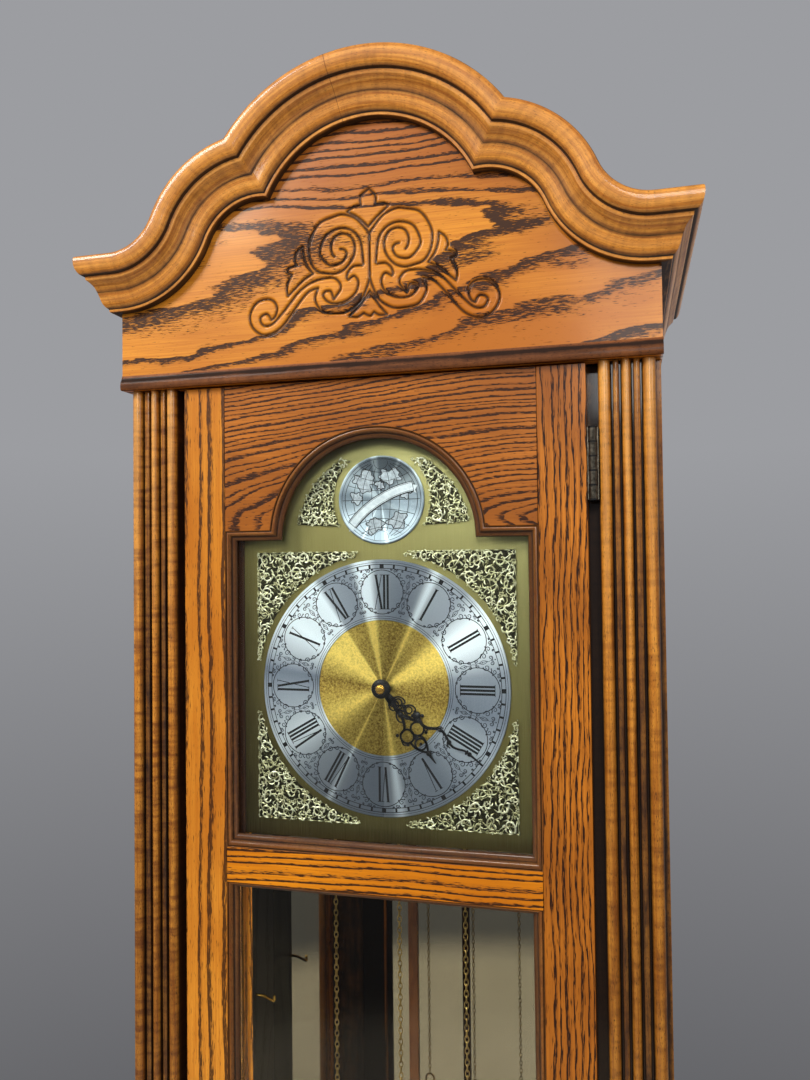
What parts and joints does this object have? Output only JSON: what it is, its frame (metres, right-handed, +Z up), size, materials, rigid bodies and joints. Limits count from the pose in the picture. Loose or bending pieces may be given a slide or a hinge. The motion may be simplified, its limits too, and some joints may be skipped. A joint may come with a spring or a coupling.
{
  "type": "grandfather clock",
  "caption": "Oak longcase clock with an arched moulded crown, a full-height glazed door between reeded columns, an arched brass dial, a chain-driven movement, weights and a pendulum.",
  "frame": {"origin": "on the floor, under the middle of the case's bounding box", "axes": "+Z up, the dial faces -Y, +X is to the right of somebody who faces the dial"},
  "size_m": [0.5756, 0.33, 1.956],
  "materials": {
    "oak": "honey-stained oak with dark open grain under satin lacquer",
    "plain_wood": "golden hardwood moulding with dark-stained hollows under gloss lacquer",
    "dark_wood": "dark-stained board, matt",
    "dial_gold": "vertically brushed antique gold plate",
    "antique_brass": "cast antique brass with dark recesses",
    "bright_brass": "polished and spun brass",
    "silvered": "circular brushed silvered metal with black printing",
    "black_steel": "satin black lacquered steel",
    "bronze": "dark bronze plated steel",
    "steel": "plain bright steel",
    "clear_glass": "clear flat glass",
    "mirror": "silvered mirror glass"
  },
  "bodies": {
    "case": {"plinth": "plain_wood", "base_front_frame": "oak", "base_front_panel": "oak", "base_side_left": "oak", "base_side_right": "oak", "base_cap_moulding": "plain_wood", "side_frame_left": "oak", "side_frame_right": "oak", "side_glass_left": "clear_glass", "side_glass_right": "clear_glass", "column_left": "plain_wood", "column_right": "plain_wood", "back_panel": "dark_wood", "mirror_panel": "mirror", "roof_board": "dark_wood", "frieze_board": "oak", "crown_moulding_front": "plain_wood", "crown_return_left": "plain_wood", "crown_return_right": "plain_wood", "hinge_top_case_leaf": "bronze", "hinge_bottom_case_leaf": "bronze", "dial_plate": "dial_gold", "chapter_ring": "silvered", "dial_centre": "bright_brass", "arch_disc": "silvered", "spandrel_top_left": "antique_brass", "spandrel_top_right": "antique_brass", "spandrel_bottom_left": "antique_brass", "spandrel_bottom_right": "antique_brass", "arch_spandrel_left": "antique_brass", "arch_spandrel_right": "antique_brass", "movement_front_plate": "bright_brass", "movement_back_plate": "bright_brass", "seatboard": "dark_wood", "chime_rods": "steel", "chain_left": "antique_brass", "chain_centre": "antique_brass", "chain_right": "antique_brass"},
    "door": {"door_stile_left": "oak", "door_stile_right": "oak", "door_top_rail": "oak", "door_mid_rail": "oak", "door_bottom_rail": "oak", "dial_glass": "clear_glass", "waist_glass": "clear_glass", "door_knob": "bright_brass", "hinge_top_door_leaf": "bronze", "hinge_bottom_door_leaf": "bronze"},
    "minute": {"minute_hand": "black_steel", "hand_nut": "bright_brass", "centre_wheel": "bright_brass"},
    "hour": {"hour_hand": "black_steel"},
    "going_wheel": {"chain_wheel": "bright_brass"},
    "escapement": {"escape_wheel": "bright_brass"},
    "pendulum": {"pallet_anchor": "steel", "pendulum_rod": "dark_wood", "pendulum_bob": "bright_brass"},
    "left_weight": {"weight_left": "bright_brass"},
    "centre_weight": {"weight_centre": "bright_brass"},
    "right_weight": {"weight_right": "bright_brass"}
  },
  "joints": [
    {"name": "door_hinge", "type": "hinge", "parent": "case", "child": "door", "pos_m": [0.196, -0.126, 1.0617], "axis": [0, 0, 1], "range_deg": [0, 110]},
    {"name": "minute_arbor", "type": "hinge", "parent": "case", "child": "minute", "pos_m": [0, -0.1, 1.382], "axis": [0, 1, 0], "continuous": true},
    {"name": "hour_pipe", "type": "hinge", "parent": "case", "child": "hour", "pos_m": [0, -0.1, 1.382], "axis": [0, 1, 0], "continuous": true},
    {"name": "chain_wheel_arbor", "type": "hinge", "parent": "case", "child": "going_wheel", "pos_m": [0.016, -0.06, 1.346], "axis": [0, 1, 0], "continuous": true},
    {"name": "escape_arbor", "type": "hinge", "parent": "case", "child": "escapement", "pos_m": [0, -0.04, 1.418], "axis": [0, 1, 0], "continuous": true},
    {"name": "pendulum_swing", "type": "hinge", "parent": "case", "child": "pendulum", "pos_m": [0, 0.004, 1.44], "axis": [0, 1, 0], "range_deg": [-3, 3]},
    {"name": "left_weight_rise", "type": "slide", "parent": "case", "child": "left_weight", "axis": [0, 0, 1], "range_m": [0, 0.4], "deforming": ["chain_left"]},
    {"name": "centre_weight_rise", "type": "slide", "parent": "case", "child": "centre_weight", "axis": [0, 0, 1], "range_m": [0, 0.4], "deforming": ["chain_centre"]},
    {"name": "right_weight_rise", "type": "slide", "parent": "case", "child": "right_weight", "axis": [0, 0, 1], "range_m": [0, 0.4], "deforming": ["chain_right"]}
  ],
  "couplings": [
    {"joint": "hour_pipe", "follows": "minute_arbor", "ratio": 0.083333},
    {"joint": "chain_wheel_arbor", "follows": "minute_arbor", "ratio": -0.083333},
    {"joint": "escape_arbor", "follows": "minute_arbor", "ratio": 60}
  ]
}
